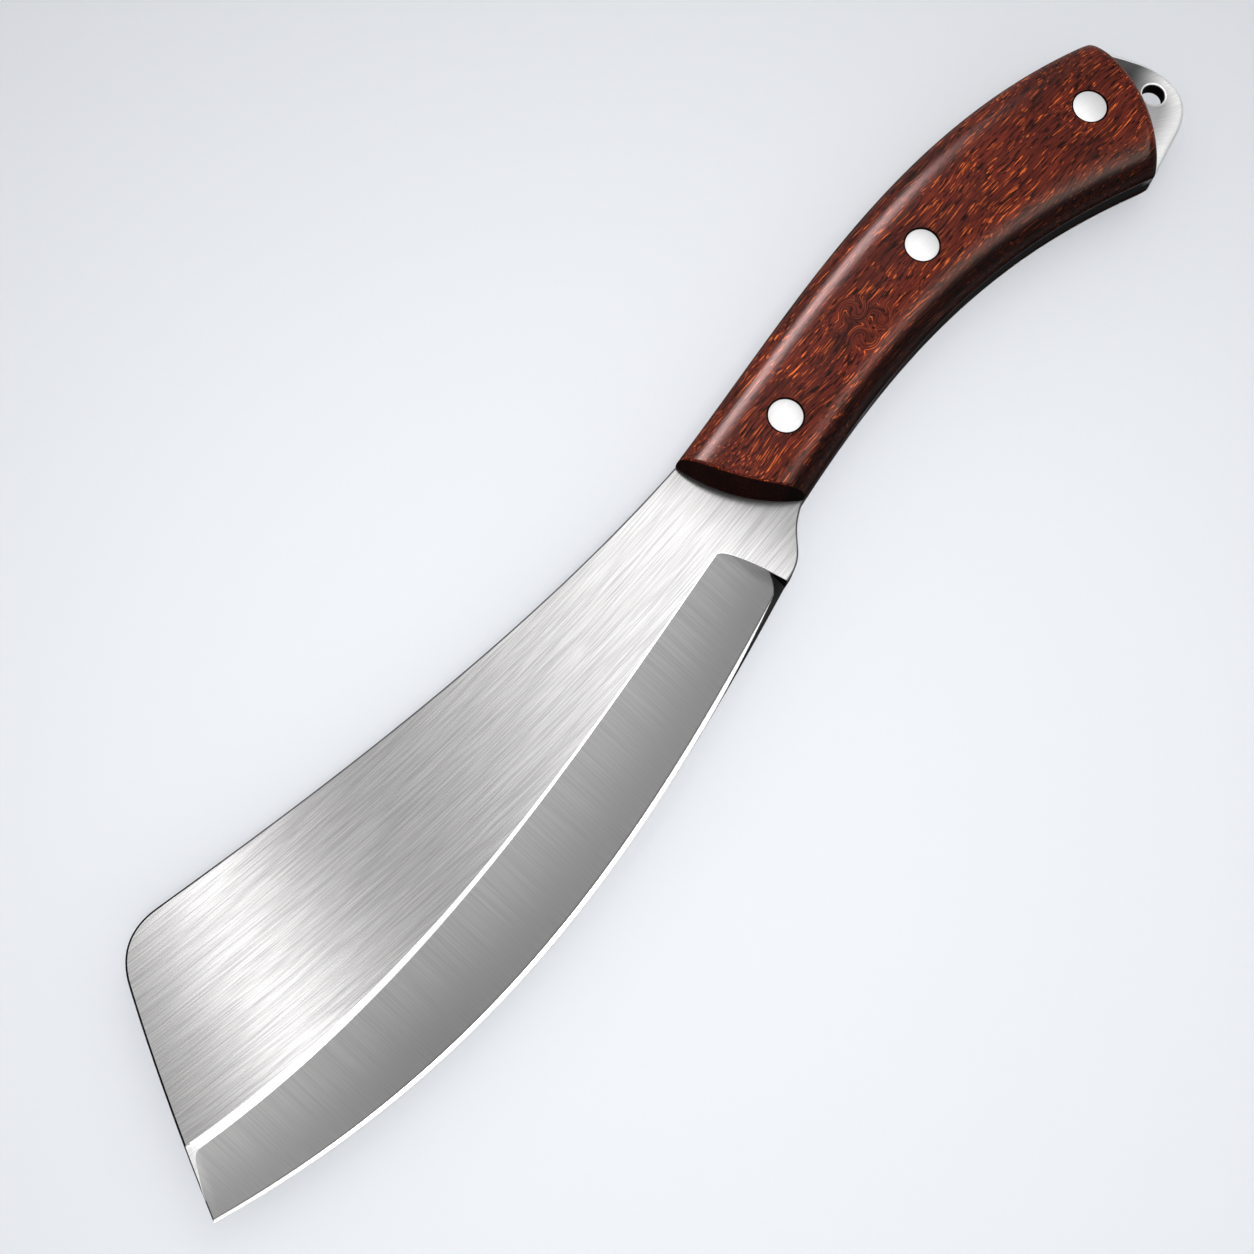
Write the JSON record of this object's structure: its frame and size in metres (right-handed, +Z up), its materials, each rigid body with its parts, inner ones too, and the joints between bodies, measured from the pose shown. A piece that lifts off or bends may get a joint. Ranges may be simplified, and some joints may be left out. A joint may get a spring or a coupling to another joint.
{
  "type": "cleaver",
  "caption": "Full-tang kitchen cleaver with a broad slanted blade, a ground bevel, riveted dark wood scales and a hanging hole in the steel butt.",
  "frame": {"origin": "under the middle of the bounding box, at the height of the far scale's crown, with the cleaver lying on its side", "axes": "+X from the tip of the blade to the butt, +Y from the cutting edge to the spine, +Z up through the side that shows"},
  "size_m": [0.3254, 0.0636, 0.0212],
  "materials": {
    "blade_steel": "satin, brushed along the blade and across the bevel",
    "handle_wood": "oiled dark reddish brown with short orange grain flecks",
    "rivet_steel": "ground flush and polished"
  },
  "bodies": {
    "root": {"blade": "blade_steel", "near_scale": "handle_wood", "far_scale": "handle_wood", "front_rivet_sleeve": "rivet_steel", "front_rivet_pin": "rivet_steel", "middle_rivet_sleeve": "rivet_steel", "middle_rivet_pin": "rivet_steel", "rear_rivet_sleeve": "rivet_steel", "rear_rivet_pin": "rivet_steel"}
  },
  "joints": []
}
